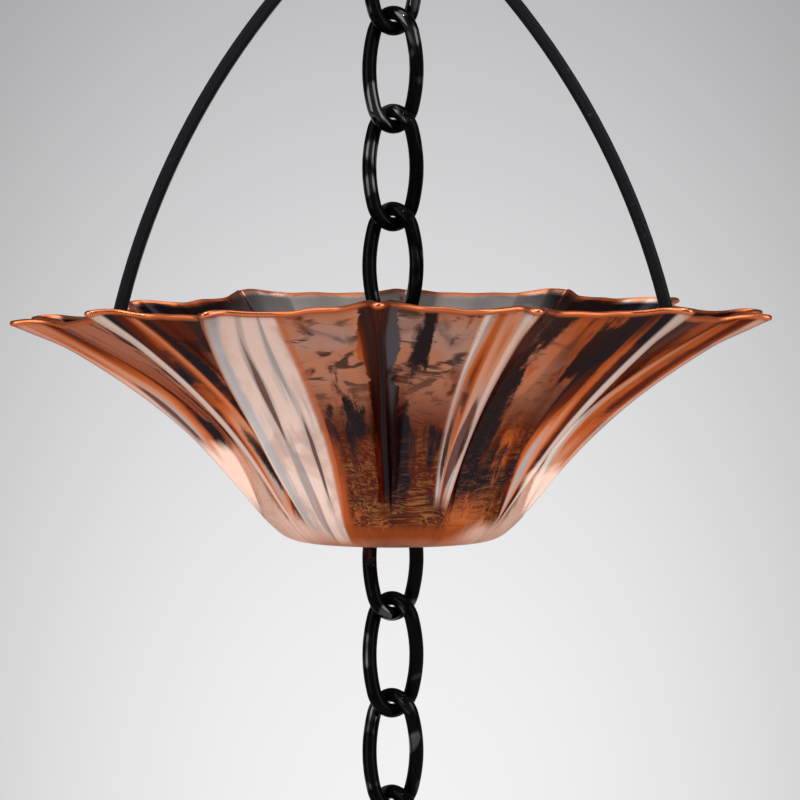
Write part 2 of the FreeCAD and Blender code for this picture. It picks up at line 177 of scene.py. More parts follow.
def length(label, millimetres, words):
    """A size property in metres, with its default given in millimetres."""
    return FloatProperty(
        name=label, description=words, default=millimetres * MILLIMETRE, min=0.0, unit="LENGTH", precision=5
    )


def angle(label, degrees, words):
    """An angle property, with its default given in degrees."""
    return FloatProperty(name=label, description=words, default=math.radians(degrees), subtype="ANGLE")


def colour(label, red, green, blue, words):
    """A colour property, with its default as linear red, green and blue."""
    default = (red, green, blue, 1.0)
    return FloatVectorProperty(
        name=label, description=words, default=default, size=4, min=0.0, max=1.0, subtype="COLOR"
    )


def share_of(label, value, words):
    """A property that is a share from 0 to 1."""
    return FloatProperty(name=label, description=words, default=value, min=0.0, max=1.0, subtype="FACTOR")


class CupShape(bpy.types.PropertyGroup):
    """Sizes of the fluted cup."""

    drop: length("Drop", 186.4, "From the hanging point down to the cup's base")
    height: length("Height", 62.9, "From the base up to the middle height of the crest tips")
    base_radius: length("Base radius", 27.5, "Outer radius of the flat base")
    swell_radius: length("Swell radius", 46.8, "Radius of the wall curve's second pole")
    swell_height: length("Swell height", 14.1, "Height of the wall curve's second pole")
    throat_radius: length("Throat radius", 44.4, "Radius of the wall curve's third pole")
    throat_height: length("Throat height", 31.6, "Height of the wall curve's third pole")
    tip_radius: length("Tip radius", 101.2, "Radius at the crest tips")
    copper: length("Copper", 1.0, "Thickness of the sheet")
    bead: length("Rim bead", 0.60, "Radius of the rolled bead along the rim")
    drain_radius: length("Drain radius", 16.0, "Radius of the drain hole in the base")
    flute_depth: length("Flute depth", 10.0, "How far the panels lie inside the crests at the rim")
    flute_start: share_of("Flute start", 0.16, "Share of the way up the wall at which the flutes begin")
    crest_angle: angle("Crest angle", 0.8, "Half the angle that a crest's fold spans")
    flank_angle: angle("Flank angle", 6.5, "Angle from a crest to the foot of its flank at the rim")
    flank_angle_low: angle("Low flank angle", 3.0, "Angle from a crest to the foot of its flank at the base")
    flank_drop: length("Flank drop", 2.0, "How far the rim dips between two crests")
    rim_wave: length("Rim wave", 3.0, "How far the rim rises at front and back and dips at the sides")
    turn: angle("Turn", -2.0, "Turn of the cup about the chain")
    hollow: FloatProperty(
        name="Flank hollow", default=1.5,
        description="Power by which the flanks curve in beside a crest; 1 is flat",
    )
    ripple: length("Ripple", 0.28, "Depth of the hand-formed ripples down the flutes")
    drape: length("Drape", 0.35, "Depth of the soft folds down the flanks")
    fold_crown: length("Fold crown", 1.1, "Rounding of a crest's fold")
    lip_drop: length("Lip drop", 1.3, "How far the lip of a crest's spout hangs below its sides")
    nose: length("Nose", 0.6, "How far the lip of a crest's spout stands out")


class CupFinish(bpy.types.PropertyGroup):
    """Colours of the flamed copper."""

    # Also the painted highlight line along the folds; on the brightest flanks partly painted reflection.
    bare: colour("Bare copper", 0.82, 0.59, 0.49, "Polished copper on the flanks")
    # Also painted grey shade in soft bands on the brightest flanks.
    steel: colour("Greyed copper", 0.38, 0.345, 0.33, "Grey film on the polished flanks")
    blush: colour("Blush", 0.59, 0.245, 0.14, "Pink-beige copper near the rim and round the base")
    oxide: colour("Oxide", 0.45, 0.092, 0.022, "Orange oxide of the panels")
    deep: colour("Deep oxide", 0.10, 0.017, 0.008, "Red-brown oxide in the hotter clouds")
    band: colour("Band", 0.345, 0.0695, 0.0178, "Plain oxide just above the base's edge")
    # Also painted shade: the shaded side of a crease and the painted shadow beside it.
    scorch: colour("Scorch", 0.014, 0.013, 0.016, "Blue-black scorched blotches")
    hem: colour("Hem", 1.0, 0.68, 0.54, "Pale copper round the sides of the base")
    # A painted blue sheen: a glint beside the brightest folds and a sheen on shaded flanks below the rim.
    blue: colour("Blue film", 0.34, 0.39, 0.43, "Blue film beside the brightest folds")
    gold: colour("Gold", 0.42, 0.18, 0.060, "Golden brush strokes")
    rim: colour("Rim", 0.52, 0.135, 0.05, "Bright edge of the rim")
    inside: colour("Inside", 0.44, 0.40, 0.375, "Grey inside of the cup near the rim")
    # Also painted brown shade in clouds on the brightest flanks.
    brown: colour("Inside, low", 0.30, 0.125, 0.070, "Brown inside of the cup lower down")
    grazing: colour("Grazing tint", 0.75, 0.55, 0.50, "Tint of the copper at a grazing angle")


class IronFinish(bpy.types.PropertyGroup):
    """Colours of the painted iron."""

    satin: colour("Satin black", 0.006, 0.006, 0.007, "Paint of the bail")
    gloss: colour("Gloss black", 0.0015, 0.0015, 0.0018, "Paint of the chain")
    worn: colour("Worn edge", 0.075, 0.073, 0.072, "Paint rubbed thin")


class StageLook(bpy.types.PropertyGroup):
    """The backdrop's tones, the fill light and the floor."""

    high: colour("High tone", 0.31, 0.31, 0.325, "Backdrop at the top of the view")
    low: colour("Low tone", 0.89, 0.89, 0.90, "Backdrop at the bottom of the view")
    front: colour("Front tone", 0.28, 0.28, 0.29, "The studio on the camera's side")
    fill: colour("Fill", 0.90, 0.92, 0.95, "Even light from all round")
    fill_strength: share_of("Fill strength", 0.45, "Strength of the even light")
    floor: colour("Floor", 0.72, 0.72, 0.73, "The pale floor under the chain")
    floor_drop: length("Floor drop", 600.0, "From the hanging point down to the floor")
    floor_radius: length("Floor radius", 1300.0, "Radius of the floor")


class RainChainLook(bpy.types.PropertyGroup):
    """All the sizes and colours that a user would change."""

    cup: PointerProperty(type=CupShape)
    copper: PointerProperty(type=CupFinish)
    iron: PointerProperty(type=IronFinish)
    stage: PointerProperty(type=StageLook)


class Wire:
    """A socket's value in a shader. An operator on it adds one Math node and gives that node's result."""

    def __init__(self, shader, socket):
        self.shader = shader
        self.socket = socket

    def maths(self, operation, *values):
        return self.shader.node("ShaderNodeMath", {"operation": operation}, dict(enumerate(values)))

    def __add__(self, other):
        return self.maths("ADD", self, other)

    def __radd__(self, other):
        return self.maths("ADD", other, self)

    def __sub__(self, other):
        return self.maths("SUBTRACT", self, other)

    def __rsub__(self, other):
        return self.maths("SUBTRACT", other, self)

    def __mul__(self, other):
        return self.maths("MULTIPLY", self, other)

    def __rmul__(self, other):
        return self.maths("MULTIPLY", other, self)

    def most(self, other):
        return self.maths("MAXIMUM", self, other)

    def least(self, other):
        return self.maths("MINIMUM", self, other)

    def rise(self, start, end):
        """0 below start, 1 above end and a smooth step between; start above end turns it round."""
        return self.shader.node(
            "ShaderNodeMapRange", {"interpolation_type": "SMOOTHSTEP"},
            {"Value": self, "From Min": start, "From Max": end}
        )


class Shader:
    """A node tree that is written as expressions."""

    def __init__(self, tree):
        self.tree = tree
        tree.nodes.clear()

    def node(self, kind, settings=None, inputs=None, output=0):
        """Adds a node of a type, sets it up, fills its sockets with values or links and gives one output."""
        node = self.tree.nodes.new(kind)
        for name, value in (settings or {}).items():
            setattr(node, name, value)
        for name, value in (inputs or {}).items():
            if isinstance(value, Wire):
                self.tree.links.new(value.socket, node.inputs[name])
            else:
                node.inputs[name].default_value = value
        return Wire(self, node.outputs[output]) if node.outputs else None

    def blend(self, share, first, second):
        """The first colour where the share is 0 and the second where it is 1."""
        settings = {"data_type": "RGBA", "clamp_factor": True}
        return self.node("ShaderNodeMix", settings, {0: share, 6: first, 7: second}, output=2)

    def between(self, share, first, second):
        """The first number where the share is 0 and the second where it is 1."""
        return self.node("ShaderNodeMix", None, {0: share, 2: first, 3: second})

    def attribute(self, name):
        return self.node("ShaderNodeAttribute", {"attribute_name": name}, output="Fac")

    def stretched(self, vector, scale, shift):
        """A vector times a scale on each axis, plus a shift."""
        inputs = {0: vector, 1: scale, 2: shift}
        return self.node("ShaderNodeVectorMath", {"operation": "MULTIPLY_ADD"}, inputs)

    def noise(self, vector, scale=1.0, detail=3.0, roughness=0.5, distortion=0.0):
        settings = {"noise_dimensions": "3D"}
        amounts = {"Scale": scale, "Detail": detail, "Roughness": roughness, "Distortion": distortion}
        return self.node("ShaderNodeTexNoise", settings, {"Vector": vector, **amounts})

    def bump(self, height, distance, strength):
        inputs = {"Height": height, "Distance": distance, "Strength": strength}
        return self.node("ShaderNodeBump", None, inputs)

    def surface(self, inputs):
        """Closes a material with one Principled shader."""
        shader = self.node("ShaderNodeBsdfPrincipled", None, inputs)
        self.node("ShaderNodeOutputMaterial", None, {"Surface": shader})


def new_material(name):
    """A material and the shader that writes its nodes."""
    material = bpy.data.materials.new(name)
    material.use_nodes = True
    return material, Shader(material.node_tree)


def grid_piece(name, points, shares, flow):
    """A mesh object from points of shape (rows, columns, 3), closed both ways.

    Each face joins a point to its neighbours along the row and the column, and the last row and column join
    the first. Shares is a dictionary of vertex attributes on the same grid. Flow is a flat map of the grid
    in metres: the place of each column across, with that of the first column once more at the end, and the
    height.
    """
    rows, columns = points.shape[:2]
    row, column = np.meshgrid(np.arange(rows), np.arange(columns), indexing="ij")
    corner_rows = np.stack((row, row, row + 1, row + 1), axis=-1).reshape(-1, 4)
    corner_columns = np.stack((column, column + 1, column + 1, column), axis=-1).reshape(-1, 4)
    corners = (corner_rows % rows) * columns + corner_columns % columns
    mesh = bpy.data.meshes.new(name)
    mesh.vertices.add(rows * columns)
    mesh.vertices.foreach_set("co", points.astype(np.float32).ravel())
    mesh.loops.add(corners.size)
    mesh.loops.foreach_set("vertex_index", corners.astype(np.int32).ravel())
    mesh.polygons.add(len(corners))
    mesh.polygons.foreach_set("loop_start", np.arange(0, corners.size, 4, dtype=np.int32))
    mesh.polygons.foreach_set("use_smooth", np.ones(len(corners), dtype=bool))
    for label, values in shares.items():
        layer = mesh.attributes.new(label, "FLOAT", "POINT")
        layer.data.foreach_set("value", np.broadcast_to(values, (rows, columns)).astype(np.float32).ravel())
    across, height = flow
    flat = np.stack((across[corner_columns], corner_rows * (height / rows)), axis=-1)
    layer = mesh.uv_layers.new(name="flow")
    layer.data.foreach_set("uv", flat.astype(np.float32).ravel())
    mesh.update(calc_edges=True)
    mesh.validate()
    piece = bpy.data.objects.new(name, mesh)
    bpy.context.scene.collection.objects.link(piece)
    return piece


def unit(vectors):
    """Vectors along the last axis, each scaled to a length of 1."""
    return vectors / np.maximum(np.linalg.norm(vectors, axis=-1, keepdims=True), 1e-12)


def eased(values):
    """A smooth step: 3 x squared minus 2 x cubed, with x held between 0 and 1."""
    held = np.clip(values, 0.0, 1.0)
    return held * held * (3.0 - 2.0 * held)


def wall_curve(share, cup):
    """Radius and height at shares of the way up the wall: a cubic Bezier curve of four poles.

    The poles are the base's edge, the swell, the throat and the crest tip.
    """
    rest = 1.0 - share
    weights = np.stack((rest ** 3, 3 * share * rest ** 2, 3 * share ** 2 * rest, share ** 3), axis=-1)
    poles = np.array((
        (cup.base_radius, 0.0), (cup.swell_radius, cup.swell_height),
        (cup.throat_radius, cup.throat_height), (cup.tip_radius, cup.height),
    ))
    curve = weights @ poles
    return curve[..., 0], curve[..., 1]


def crest_angle(share, crest):
    """A crest's angle from the front: its even place and its shift, plus its lean.

    The lean is in full at the base, and goes with 1 minus the fourth power of the share.
    """
    leans = np.array([CREST_LEANS.get(i, 0.0) for i in range(CREST_COUNT)])
    which = crest.astype(int) % CREST_COUNT
    even = 360.0 / CREST_COUNT * crest
    return np.radians(even + np.array(CREST_SHIFTS)[which] + leans[which] * (1.0 - share ** 4))


def flank_reach(share, crest, side, cup):
    """Angle from a crest to the foot of its flank on one side, in a straight line from base to rim.

    A flank with a width of its own has its angle at the rim, and the rest goes as a crest's lean does.
    """
    reach = cup.flank_angle_low + (cup.flank_angle - cup.flank_angle_low) * share + 0.0 * crest
    for (own, own_side), (rim, more) in FLANK_WIDTHS.items():
        is_own = (crest.astype(int) % CREST_COUNT == own) & (side == own_side)
        reach = np.where(is_own, np.radians(rim + more * (1.0 - share ** 4)), reach)
    return reach


def tip_lift(place):
    """How far the rim stands above the even one: each crest's lift, eased from one crest to the next."""
    crest = np.floor(place)
    which = crest.astype(int)
    lifts = np.array(TIP_LIFTS) * MILLIMETRE
    own, following = lifts[which % CREST_COUNT], lifts[(which + 1) % CREST_COUNT]
    return own + (following - own) * eased(place - crest)


def cup_outer(share, place, cup):
    """Points of the cup's outer face, and how far down its flank and into its panel each one lies.

    Share goes up the wall, shape (rows, 1), and place goes round from 0 to the number of crests, shape
    (1, columns). Within a crest's sector the place runs from -1 to 1 about the crest: a rounded fold, then a
    flank that curves in to its foot, then half a panel. The radius is the wall curve's, less the flute's
    depth times the way down the flank, where the depth grows up the wall as g (2 - g). A flank's soft folds
    are a sine of the way down it, the share and the crest, which fades out at both its edges. The rim's wave
    and dip grow as the cube of the share, and a tip's lift as its fifth power. At the tip the fold opens, and
    its lip stands out and drops, so that the crest ends in a small spout.
    """
    crest = np.floor(place + 0.5)
    across = np.abs(2.0 * (place - crest))
    side = np.where(place < crest, -1.0, 1.0)
    fold = np.clip(across / FOLD_END, 0.0, 1.0)
    flank = np.clip((across - FOLD_END) / (FOOT - FOLD_END), 0.0, 1.0)
    panel = np.clip((across - FOOT) / (1.0 - FOOT), 0.0, 1.0)
    start = np.clip((share - cup.flute_start) / (1.0 - cup.flute_start), 0.0, 1.0)
    growth = start * (2.0 - start)
    tip = eased((share - TIP_START) / (1.0 - TIP_START))

    fold_angle = cup.crest_angle * (1.0 + TIP_OPENING * tip)
    reach = flank_reach(share, crest, side, cup)
    next_reach = flank_reach(share, crest + side, -side, cup)
    own_angle, next_angle = crest_angle(share, crest), crest_angle(share, crest + side)
    half_panel = 0.5 * (side * (next_angle - own_angle) - reach - next_reach)
    hollow = 1.0 + (cup.hollow - 1.0) * growth
    offset = fold_angle * fold + (reach - fold_angle) * flank ** hollow + half_panel * panel
    turned = own_angle + side * offset

    radius, height = wall_curve(share, cup)
    over, up, along = DRAPE_WAVES
    drape = np.sin(over * flank + up * share + along * crest * side) * np.sin(math.pi * flank)
    inwards = cup.flute_depth * flank - cup.drape * drape - cup.fold_crown * (1.0 - fold ** 2)
    lip = tip * (1.0 - eased(across / (2.0 * FOLD_END)))
    radius = radius - growth * inwards + cup.nose * lip
    height = height + share ** 3 * (cup.rim_wave * np.cos(2.0 * turned) - cup.flank_drop * flank)
    height = height + share ** 5 * tip_lift(place) - cup.lip_drop * lip
    turned = turned + cup.turn
    points = np.stack((radius * np.sin(turned), -radius * np.cos(turned), height - cup.drop), axis=-1)
    return points, flank[0], panel[0]


def grid_normals(points):
    """Unit normals of a grid that is closed round its columns, from differences along both directions."""
    round_it = np.roll(points, -1, axis=1) - np.roll(points, 1, axis=1)
    up_it = np.gradient(points, axis=0)
    return unit(np.cross(round_it, up_it))


def softened(points, axis):
    """Points averaged with their neighbours along a closed axis: a quarter, a half and a quarter."""
    return 0.25 * np.roll(points, 1, axis=axis) + 0.5 * points + 0.25 * np.roll(points, -1, axis=axis)


def hand_ripples(share, place):
    """Uneven hand-formed ripples, long down the flutes: a sum of sines of the place and the share."""
    turn = place * (2.0 * math.pi / CREST_COUNT)
    waves = sum(
        strength * np.sin(count * turn + rise * share + phase) for strength, count, rise, phase in RIPPLES
    )
    return waves * eased((share - RIPPLE_START) / (RIPPLE_FULL - RIPPLE_START))


def crest_finish(place):
    """How bright each column's flank is, partly real polishing and partly painted reflection and shade, how
    bright its fold's painted highlight is, where they end and how smoky the panel is.

    The flanks' values ease across the fold, and a panel's value holds from one crest to the next.
    """
    crest = np.floor(place + 0.5)
    left, right, gleam, smoke, end = np.array(CREST_FINISH).T
    which = crest.astype(int) % CREST_COUNT
    share_right = eased(0.5 + (place - crest) / FOLD_END)
    polish = left[which] * (1.0 - share_right) + right[which] * share_right
    panel = np.floor(place).astype(int) % CREST_COUNT
    return {"polish": polish, "gleam": gleam[which], "smoke": smoke[panel], "end": end[which]}


def cup_grid(cup):
    """The whole cup as one grid that is closed both ways, and its vertex shares.

    The rows go up the outer face, over the rim's bead, down the inner face, in along the base to the drain
    hole and out again underneath. The inner face lies the sheet's thickness inside the outer one, and the
    bead is an arc of a circle about the middle of the sheet's edge. The base's edge is rounded, outside and
    inside, by averaging the rows next to it.
    """
    share = np.linspace(0.0, 1.0, WALL_ROWS)[:, None]
    place = np.arange(CREST_COUNT * COLUMNS_PER_CREST)[None, :] / COLUMNS_PER_CREST
    outer, flank, panel = cup_outer(share, place, cup)
    for _ in range(FOLD_ROUNDS):
        outer = softened(outer, axis=1)
    outer = outer + grid_normals(outer) * (cup.ripple * hand_ripples(share, place))[..., None]
    inner = outer - grid_normals(outer) * cup.copper

    middle = 0.5 * (outer[-1] + inner[-1])
    outward = unit(outer[-1] - inner[-1])
    upward = unit(middle - 0.5 * (outer[-2] + inner[-2]))
    theta = np.radians(np.linspace(*BEAD_ARC, BEAD_ROWS))[:, None, None]
    swell = 1.0 + BEAD_SWELL - BEAD_SWELL * eased(flank / BEAD_SWELL_END)
    bead_radius = cup.bead * swell[None, :, None]
    bead = middle + bead_radius * (np.cos(theta) * outward + np.sin(theta) * upward)

    edge_angle = np.arctan2(inner[0, :, 0], -inner[0, :, 1])
    drain = np.stack((np.sin(edge_angle), -np.cos(edge_angle), 0.0 * edge_angle), axis=-1) * cup.drain_radius
    under = drain + np.array((0.0, 0.0, -cup.drop))
    over = under + np.array((0.0, 0.0, cup.copper))
    step = np.linspace(0.0, 1.0, BASE_ROWS)[1:, None, None]
    floor_in = inner[0] * (1.0 - step) + over * step
    floor_out = under * (1.0 - step) + outer[0] * step
    points = np.concatenate((outer[:-1], bead, inner[-2::-1], floor_in, under[None], floor_out[:-1]))

    rows = len(points)
    wall = WALL_ROWS - 1
    inner_edge = 2 * wall + BEAD_ROWS - 1
    count = np.arange(rows)
    from_edge = np.minimum(np.minimum(count, rows - count), np.abs(count - inner_edge))
    near_edge = np.clip(1.0 + EDGE_HOLD - from_edge / EDGE_ROWS, 0.0, 1.0)[:, None, None]
    for _ in range(EDGE_ROUNDS):
        points = points + near_edge * (softened(points, axis=0) - points)

    up = np.concatenate((share[:-1, 0], np.ones(BEAD_ROWS), share[-2::-1, 0], np.zeros(2 * BASE_ROWS - 2)))
    rim = np.zeros(rows)
    rim[wall:wall + BEAD_ROWS] = 1.0
    inside = np.zeros(rows)
    inside[wall + BEAD_ROWS:inner_edge + BASE_ROWS] = 1.0
    by_row = {"up": up[:, None], "rim": rim[:, None], "inside": inside[:, None]}
    by_column = {"flank": flank[None], "bay": panel[None]}
    return points, by_row | by_column | crest_finish(place)


def flat_map(points):
    """The cup's flat map: the angle of each column at half height times the map's radius, and its height."""
    middle = points[WALL_ROWS // 2]
    turn = np.unwrap(np.arctan2(middle[:, 0], -middle[:, 1]))
    return np.append(turn, turn[0] + 2.0 * math.pi) * MAP_RADIUS, MAP_HEIGHT


def copper_fields(make):
    """What the copper's masks and colours are made from, each by its name.

    These are the cup's vertex shares, how far aside a point lies in metres, and the patterns. They run on the
    cup's own flat map, whose first direction goes round and second goes up, so that clouds and smudges are
    long down the flutes. The hair is fine strokes round the cup, stirred by the swirl.
    """
    flow = make.node("ShaderNodeUVMap", {"uv_map": "flow"})
    place = make.node("ShaderNodeTexCoord", output="Object")
    at = SimpleNamespace(**{name: make.attribute(name) for name in CUP_SHARES})
    at.crest = 1.0 - at.flank
    at.aside = make.node("ShaderNodeSeparateXYZ", None, {0: place}, output="X")
    for name, (waves, shift, detail, roughness, distortion) in COPPER_PATTERNS.items():
        vector = make.stretched(flow, (*waves, 1.0), (*shift, 0.0))
        setattr(at, name, make.noise(vector, 1.0, detail, roughness, distortion))
    stirred = make.stretched(flow, HAIR_WAVES, HAIR_STIR * at.swirl)
    at.hair = make.noise(stirred, detail=4.0, roughness=0.68, distortion=0.5)
    at.fine = make.noise(place, METAL_GRAIN, detail=3.0, roughness=0.6)
    return at


def copper_masks(make, at):
    """Where each finish lies on the copper, from 0 to 1, each by its name.

    A mask is a smooth step of a vertex share or a pattern, or of a sum of them, times the zones it keeps to.
    """
    up, crest, bay, polish = at.up, at.crest, at.bay, at.polish
    on = SimpleNamespace()

    # Zones of the wall: its brushed lower part, the part below the rim, and the band above the base's edge.
    on.low = up.rise(0.80, 0.30)
    on.high = up.rise(0.60, 0.86)
    on.band = up.rise(0.02, 0.05) * up.rise(0.18, 0.10)

    # Zones by the square of the metres aside: near the middle, away from it, and where smudges were brushed.
    squared = at.aside * at.aside
    on.front = squared.rise(0.050 ** 2, 0.030 ** 2)
    on.sides = squared.rise(0.030 ** 2, 0.050 ** 2)
    brushed = squared.rise(0.080 ** 2, 0.050 ** 2)

    # How far up the wall the pale base reaches on its left and right, and the pale base with its cloudy edge.
    left = 0.18 * at.aside.rise(-0.012, -0.030) + 0.26 * at.aside.rise(-0.028, -0.042)
    right = 0.10 * at.aside.rise(0.012, 0.024) + 0.30 * at.aside.rise(0.027, 0.039)
    on.pale = left + right
    cloudy = 0.9 * (at.cloud - 0.5) + 0.5 * (at.streak - 0.5) - 1.0
    on.hem = (up + 0.06 * (at.cloud - 0.5) + on.pale * cloudy).rise(0.09, -0.01)

    # The flanks, ragged where a fold has no painted highlight, how bright they are, partly real polishing and
    # partly painted reflection and shade, and the painted highlight line on a fold.
    above = (up - at.end).rise(-0.08, 0.06)
    ragged_foot = 0.40 + 2.0 * (at.smudge - 0.5) + 0.4 * (at.hair - 0.5)
    on.flank = (crest - at.gleam.rise(0.10, 0.0) * ragged_foot).rise(0.01, 0.10) * above
    on.tone = polish + 2.4 * (at.bands - 0.5) + 0.3 * (at.streak - 0.5)
    on.line = crest.rise(0.90, 1.0) * at.gleam * above

    # The panels: clean ones beside bright flanks, hotter clouds, and brush strokes on the lower wall.
    on.clean = polish.rise(0.5, 0.8) * bay.rise(0.6, 0.1) * on.low
    middle = up.rise(0.22, 0.42) * up.rise(0.80, 0.62)
    smoky = at.cloud + 0.3 * (at.streak - 0.5) + 0.9 * (at.smoke - 0.5) + 0.12 * middle
    on.smoky = smoky.rise(0.42, 0.60) * (1.0 - 0.8 * on.clean)
    on.stroked = on.low * (1.0 - on.clean) * (1.0 - on.band)
    on.strokes = (at.hair + 0.30 * (at.mist - 0.5)).rise(0.45, 0.64) * on.stroked

    # Flame-blackened smudges and painted shade: torn by the brush near the middle and by the bands at the
    # sides, a painted shadow in the crease beside a shaded flank, fewer below the rim, and off the clean
    # panels, the pale base and the bright flanks.
    shadow = polish.rise(-0.01, -0.10) * bay.rise(0.85, 0.10) * up.rise(0.14, 0.32)
    torn = make.between(brushed, 0.45 * (at.bands - 0.5), (at.hair - 0.5) * (0.16 + 0.24 * on.low))
    scorched = at.smudge + torn + 0.15 * (at.streak - 0.5) + 0.1 * (at.smoke - 0.6) + 0.26 * shadow
    scorched = (scorched - 0.12 * on.high * on.front).rise(0.475, 0.575) * (1.0 - on.clean)
    scorched = scorched * (1.0 - on.hem) * up.rise(0.12, 0.40) * (1.0 - on.flank * on.tone.rise(0.26, 0.42))
    on.scorched = scorched * (1.0 - 0.45 * on.low * at.hair.rise(0.48, 0.60))

    # The hot line at the foot of a bright flank.
    on.seam = crest.rise(0.09, 0.02) * bay.rise(0.09, 0.02) * up.rise(0.14, 0.34) * polish.rise(0.4, 0.6)
    return on


def panel_colour(make, look, at, on):
    """The panels: oxide clouds and band, blush, grey patches and dark wisps below the rim, then strokes."""
    tint = make.blend(on.smoky, look.oxide, look.deep)
    tint = make.blend(0.8 * on.band, tint, look.band)
    haze = on.high * at.mist.rise(0.32, 0.48) * on.front
    tint = make.blend(0.8 * haze.most(at.smoke.rise(0.44, 0.38)), tint, look.blush)
    tint = make.blend(0.3 * at.swirl.rise(0.52, 0.66) * at.up.rise(0.74, 0.92) * on.front, tint, look.steel)
    tint = make.blend(0.85 * at.wisp.rise(0.53, 0.63) * on.high * on.front, tint, look.scorch)
    tint = make.blend(0.6 * at.hair.rise(0.46, 0.36) * on.stroked, tint, look.scorch)
    return make.blend(0.6 * on.strokes, tint, look.gold)


def flank_colour(make, look, at, on):
    """The flanks: from dark to polished copper by their tone, partly painted shade and reflection, then grey
    bands and brown clouds of painted shade, slits and a painted blue sheen.
    """
    bright = at.polish.rise(0.6, 0.8)
    # From the darkest colour to polished copper: on a shaded flank the dark is painted shade, and on the
    # brightest flanks the light is partly painted reflection.
    tint = look.scorch
    for name, start, end in SHEEN_STEPS:
        tint = make.blend(on.tone.rise(start, end), tint, getattr(look, name))
    # Painted shade on the brightest flanks: soft grey bands and brown clouds.
    tint = make.blend(0.55 * at.bands.rise(0.50, 0.36) * bright, tint, look.steel)
    tint = make.blend(0.4 * at.cloud.rise(0.46, 0.62) * bright, tint, look.brown)
    tint = make.blend(0.5 * at.slits.rise(0.54, 0.62) * at.polish.rise(0.4, 0.6), tint, look.steel)
    tint = make.blend(0.85 * at.slits.rise(0.625, 0.68), tint, look.deep)
    # Painted blue sheen: a glint beside the brightest folds and a sheen on shaded flanks below the rim.
    painted_glint_beside_fold = 0.7 * at.crest.rise(0.80, 0.94) * at.polish.rise(0.7, 0.85)
    painted_sheen_on_shaded_flank = 0.25 * at.polish.rise(0.0, -0.05) * on.high
    return make.blend(painted_glint_beside_fold.most(painted_sheen_on_shaded_flank), tint, look.blue)


def flamed_copper(look):
    """Flamed copper: polished flanks, oxide panels, flame-blackened smudges, brush strokes, a bright rim, and
    painted reflection, shade and highlights.

    Each finish lies over those before it: panels, flanks, smudges with painted shadow, hot seams, painted
    highlight lines, the pale base, the inside and the rim.
    """
    material, make = new_material("flamed_copper")
    at = copper_fields(make)
    on = copper_masks(make, at)
    tint = make.blend(on.flank, panel_colour(make, look, at, on), flank_colour(make, look, at, on))
    # Flame-blackened smudges and the painted shadow in the creases.
    tint = make.blend(on.scorched, tint, look.scorch)
    tint = make.blend(0.8 * on.seam, tint, look.rim)
    # The painted highlight line along the folds.
    tint = make.blend(0.9 * on.line, tint, look.bare)
    tint = make.blend(0.9 * on.hem, tint, make.blend(on.pale.rise(0.0, 0.15), look.blush, look.hem))
    lining = make.blend((at.up + 0.4 * (at.cloud - 0.5)).rise(0.50, 0.80), look.brown, look.inside)
    lining = make.blend(on.sides * at.up.rise(0.70, 0.86), lining, look.scorch)
    tint = make.blend(at.inside, tint, lining)
    tint = make.blend(0.95 * at.rim.rise(0.55, 0.95), tint, look.rim)

    off_flank = 1.0 - on.flank
    roughness = 0.36 - 0.16 * on.flank + 0.08 * at.rim + 0.12 * on.strokes * off_flank
    roughness = roughness + 0.08 * (at.fine - 0.5)
    relief = 0.55 * at.streak + 0.35 * at.hair * on.low * off_flank + 0.10 * at.fine
    make.surface({
        "Base Color": tint, "Metallic": 1.0, "Roughness": roughness, "Specular Tint": look.grazing,
        "Normal": make.bump(relief, distance=0.0006, strength=0.40),
    })
    return material


def black_iron(name, paint, worn, roughness, grain, depth, gloss, lacquer=0.0):
    """Black paint on iron: a little uneven in gloss, with fine lumps, rubbed places and spots of lacquer.

    Grain is the lumps' waves in a metre, and depth is their height in metres.
    """
    material, make = new_material(name)
    place = make.node("ShaderNodeTexCoord", output="Object")
    lumps = make.noise(place, grain, detail=3.0, roughness=0.55)
    fine = make.noise(place, grain * 6.0, detail=3.0, roughness=0.6)
    rubbed = (lumps + 0.5 * (fine - 0.5)).rise(0.70, 0.86)
    inputs = {
        "Base Color": make.blend(0.6 * rubbed, paint, worn),
        "Roughness": roughness + 0.12 * (fine - 0.5) + 0.12 * rubbed,
        "Specular IOR Level": gloss,
        "Normal": make.bump(lumps + 0.35 * fine, depth, strength=0.6),
    }
    if lacquer:
        spots = make.noise(place, 0.5 * grain, detail=1.0, roughness=0.4).rise(0.56, 0.66)
        inputs |= {"Coat Weight": lacquer * spots, "Coat Roughness": 0.05}
    make.surface(inputs)
    return material


def paint_node(name, material):
    """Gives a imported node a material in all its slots."""
    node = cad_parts[name]
    if not node.material_slots:
        node.data.materials.append(material)
    for slot in node.material_slots:
        slot.material = material


def pale_floor(look):
    """A round floor: one face, whose corners stand evenly on a circle, in mottled matte paint."""
    turn = np.linspace(0.0, 2.0 * math.pi, FLOOR_CORNERS, endpoint=False)
    disc = np.stack((np.sin(turn), np.cos(turn), 0.0 * turn), axis=-1) * look.floor_radius
    disc[:, 2] = -look.floor_drop
    mesh = bpy.data.meshes.new("floor")
    mesh.from_pydata(disc.tolist(), [], [list(range(FLOOR_CORNERS))[::-1]])
    material, make = new_material("pale_floor")
    mottle = make.noise(make.node("ShaderNodeTexCoord", output="Object"), scale=6.0, detail=2.0)
    make.surface({"Base Color": make.blend(0.04 * mottle, look.floor, look.high), "Roughness": 0.85})
    mesh.materials.append(material)
    floor = bpy.data.objects.new("floor", mesh)
    bpy.context.scene.collection.objects.link(floor)
    return floor


